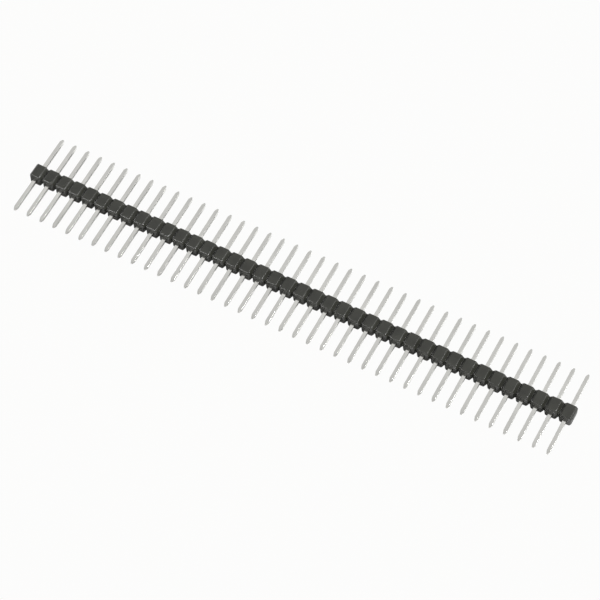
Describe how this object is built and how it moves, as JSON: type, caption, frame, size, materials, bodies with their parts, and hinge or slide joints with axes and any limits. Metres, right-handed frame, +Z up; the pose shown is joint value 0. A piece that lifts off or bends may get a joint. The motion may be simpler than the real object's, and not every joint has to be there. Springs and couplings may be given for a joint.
{
  "type": "pin header strip",
  "caption": "Straight single-row pin header: a black break-off moulding with standoff feet and square tapered contact pins through it, lying on its side.",
  "frame": {"origin": "middle of the strip, under the pins' axes, on the flat surface that it lies on", "axes": "+X along the strip, +Y along the pins from the board side to the mating side, +Z up from the surface that it lies on"},
  "size_m": [0.1012, 0.0162, 0.0025],
  "materials": {
    "moulding": "black glass-filled thermoplastic, satin as moulded",
    "contact": "bright tin plating over brass"
  },
  "bodies": {
    "root": {"housing": "moulding", "pin_1": "contact", "pin_2": "contact", "pin_3": "contact", "pin_4": "contact", "pin_5": "contact", "pin_6": "contact", "pin_7": "contact", "pin_8": "contact", "pin_9": "contact", "pin_10": "contact", "pin_11": "contact", "pin_12": "contact", "pin_13": "contact", "pin_14": "contact", "pin_15": "contact", "pin_16": "contact", "pin_17": "contact", "pin_18": "contact", "pin_19": "contact", "pin_20": "contact", "pin_21": "contact", "pin_22": "contact", "pin_23": "contact", "pin_24": "contact", "pin_25": "contact", "pin_26": "contact", "pin_27": "contact", "pin_28": "contact", "pin_29": "contact", "pin_30": "contact", "pin_31": "contact", "pin_32": "contact", "pin_33": "contact", "pin_34": "contact", "pin_35": "contact", "pin_36": "contact", "pin_37": "contact", "pin_38": "contact", "pin_39": "contact", "pin_40": "contact"}
  },
  "joints": []
}
